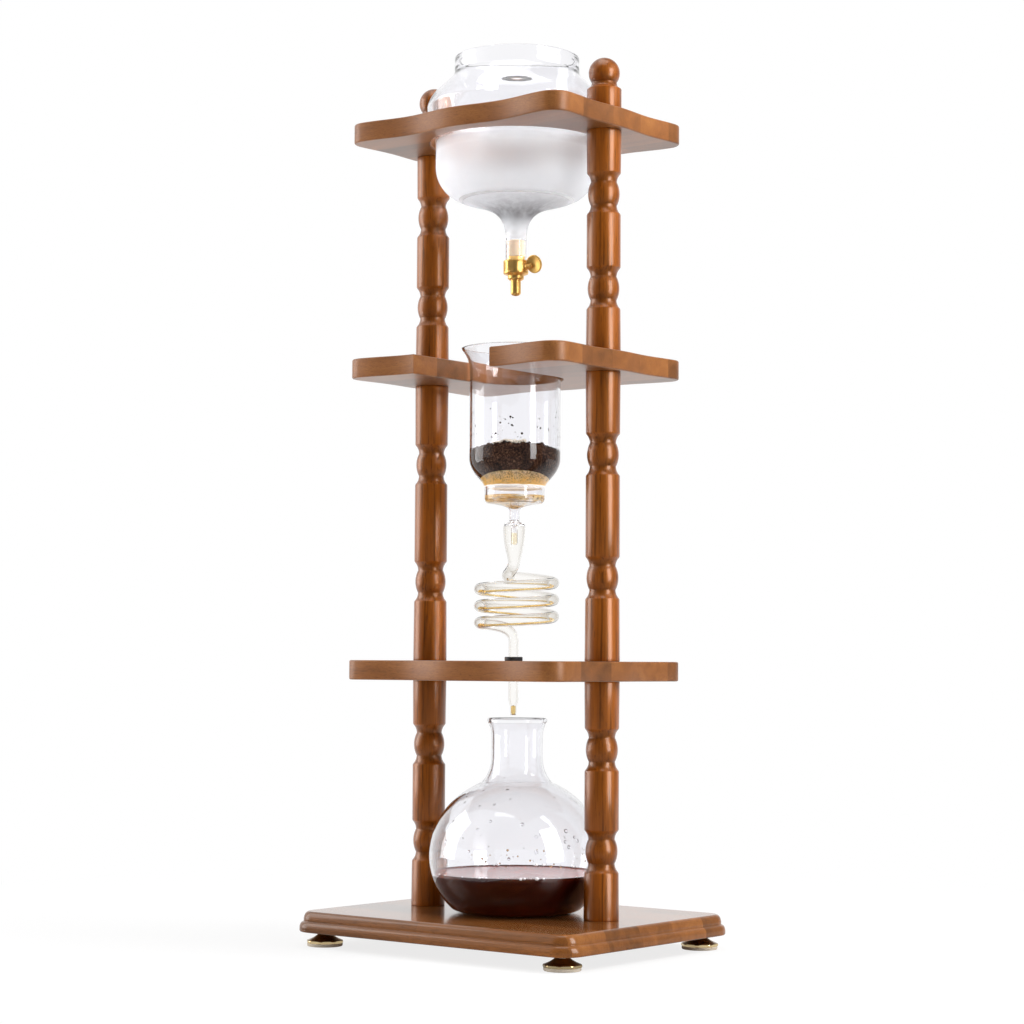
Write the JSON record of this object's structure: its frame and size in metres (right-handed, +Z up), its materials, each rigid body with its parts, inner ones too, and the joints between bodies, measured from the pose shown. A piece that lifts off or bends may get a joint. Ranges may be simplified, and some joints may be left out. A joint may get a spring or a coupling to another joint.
{
  "type": "cold drip coffee tower",
  "caption": "Turned wooden tower with shelves that holds a glass water globe with a drip valve, a brewing chamber, a coiled glass tube and a round flask.",
  "frame": {"origin": "on the floor, at the middle of the base", "axes": "+Z up; X runs from the left post to the right post; -Y is the front, where the slot of the middle shelf opens"},
  "size_m": [0.3384, 0.2664, 0.8716],
  "materials": {
    "base_wood": "satin lacquered red-brown wood",
    "shelf_wood": "satin lacquered brown glued staves",
    "post_wood": "glossy lacquered orange-brown turned wood",
    "steel": "plain zinc-coloured steel",
    "foot_brass": "dark bronzed brass with a bright rim",
    "foot_felt": "pale beige non-slip pad",
    "valve_brass": "polished yellow brass",
    "black_rubber": "black rubber",
    "silicone": "soft cream silicone",
    "clear_glass": "clear borosilicate glass",
    "ceramic": "porous tan ceramic"
  },
  "bodies": {
    "stand": {"base_board": "base_wood", "lower_shelf": "shelf_wood", "middle_shelf": "shelf_wood", "top_shelf": "shelf_wood", "lower_post_left": "post_wood", "lower_post_right": "post_wood", "middle_post_left": "post_wood", "middle_post_right": "post_wood", "upper_post_left": "post_wood", "upper_post_right": "post_wood", "finial_left": "post_wood", "finial_right": "post_wood", "base_bolts": "steel", "lower_studs": "steel", "middle_studs": "steel", "top_studs": "steel", "foot_inserts": "valve_brass", "tube_grommet": "black_rubber"},
    "screw_foot_front_left": {"foot_front_left": "foot_brass", "foot_stem_front_left": "steel", "foot_pad_front_left": "foot_felt"},
    "screw_foot_front_right": {"foot_front_right": "foot_brass", "foot_stem_front_right": "steel", "foot_pad_front_right": "foot_felt"},
    "screw_foot_back_left": {"foot_back_left": "foot_brass", "foot_stem_back_left": "steel", "foot_pad_back_left": "foot_felt"},
    "screw_foot_back_right": {"foot_back_right": "foot_brass", "foot_stem_back_right": "steel", "foot_pad_back_right": "foot_felt"},
    "water_globe": {"globe": "clear_glass", "valve_stopper": "silicone", "valve_body": "valve_brass", "valve_nozzle": "valve_brass"},
    "valve_key": {"key_stem": "valve_brass", "key_paddle": "valve_brass", "key_seal": "black_rubber"},
    "brewer": {"brewing_chamber": "clear_glass", "ceramic_filter": "ceramic", "filter_gasket": "silicone"},
    "coil": {"condenser_coil": "clear_glass"},
    "receiver": {"flask": "clear_glass"}
  },
  "joints": [
    {"name": "foot_screw_front_left", "type": "slide", "parent": "stand", "child": "screw_foot_front_left", "axis": [0, 0, -1], "range_m": [-0.0015, 0.008]},
    {"name": "foot_screw_front_right", "type": "slide", "parent": "stand", "child": "screw_foot_front_right", "axis": [0, 0, -1], "range_m": [-0.0015, 0.008]},
    {"name": "foot_screw_back_left", "type": "slide", "parent": "stand", "child": "screw_foot_back_left", "axis": [0, 0, -1], "range_m": [-0.0015, 0.008]},
    {"name": "foot_screw_back_right", "type": "slide", "parent": "stand", "child": "screw_foot_back_right", "axis": [0, 0, -1], "range_m": [-0.0015, 0.008]},
    {"name": "globe_lift", "type": "slide", "parent": "stand", "child": "water_globe", "axis": [0, 0, 1], "range_m": [0, 0.2]},
    {"name": "key_turn", "type": "hinge", "parent": "water_globe", "child": "valve_key", "pos_m": [0, 0, 0.663], "axis": [1, 0, 0], "range_deg": [-15, 75]},
    {"name": "chamber_lift", "type": "slide", "parent": "stand", "child": "brewer", "axis": [0, 0, 1], "range_m": [0, 0.03]},
    {"name": "coil_turn", "type": "hinge", "parent": "stand", "child": "coil", "pos_m": [0, 0, 0.2765], "axis": [0, 0, 1], "continuous": true},
    {"name": "flask_slide", "type": "slide", "parent": "stand", "child": "receiver", "axis": [0, -1, 0], "range_m": [0, 0.22]}
  ]
}
